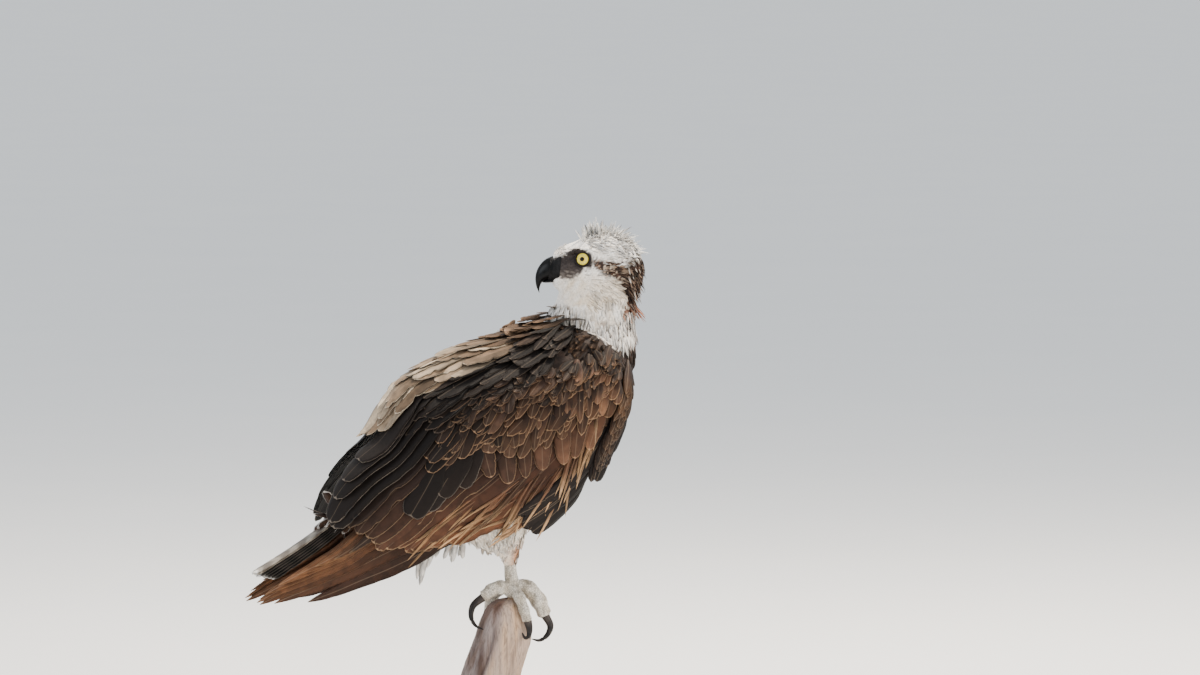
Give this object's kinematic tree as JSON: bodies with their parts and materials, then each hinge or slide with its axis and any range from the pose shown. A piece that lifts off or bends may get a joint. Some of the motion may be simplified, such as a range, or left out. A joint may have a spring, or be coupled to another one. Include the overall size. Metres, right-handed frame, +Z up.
{
  "type": "osprey figure",
  "caption": "Life-size still osprey gripping the top of a leaning weathered stake with one foot, head turned back, on a round stand.",
  "frame": {"origin": "middle of the flat underside of the round base", "axes": "+Z up; +X to the right of the picture, towards the bird's breast and wrists; +Y away from the camera"},
  "size_m": [0.4168, 0.22, 0.5308],
  "materials": {
    "white_plumage": "cream and white body feathers, matt",
    "brown_plumage": "dark brown wing feathers with tan edges, matt",
    "tail_plumage": "barred grey-brown tail feathers with pale tips",
    "bill": "black horn, glossy, grey-blue at the base",
    "eye": "wet yellow eye with a black pupil",
    "foot_skin": "pale grey scaled skin",
    "claw": "black horn, satin",
    "weathered_wood": "grey weathered wood with cracks, one side paler",
    "rod_steel": "dark brushed steel",
    "base_wood": "dark turned hardwood, satin varnish"
  },
  "bodies": {
    "root": {"head": "white_plumage", "bill_upper": "bill", "bill_lower": "bill", "neck": "white_plumage", "torso": "white_plumage", "tail": "tail_plumage", "thigh_right": "white_plumage", "thigh_left": "white_plumage", "wing_right_arm": "brown_plumage", "wing_right_hand": "brown_plumage", "wing_left_arm": "brown_plumage", "wing_left_hand": "brown_plumage", "eye_right": "eye", "eye_left": "eye", "foot_right": "foot_skin", "claw_right_1": "claw", "claw_right_2": "claw", "claw_right_3": "claw", "claw_right_4": "claw", "foot_left": "foot_skin", "claw_left_1": "claw", "claw_left_2": "claw", "claw_left_3": "claw", "claw_left_4": "claw", "perch": "weathered_wood", "stand_rod": "rod_steel", "stand_base": "base_wood"}
  },
  "joints": []
}
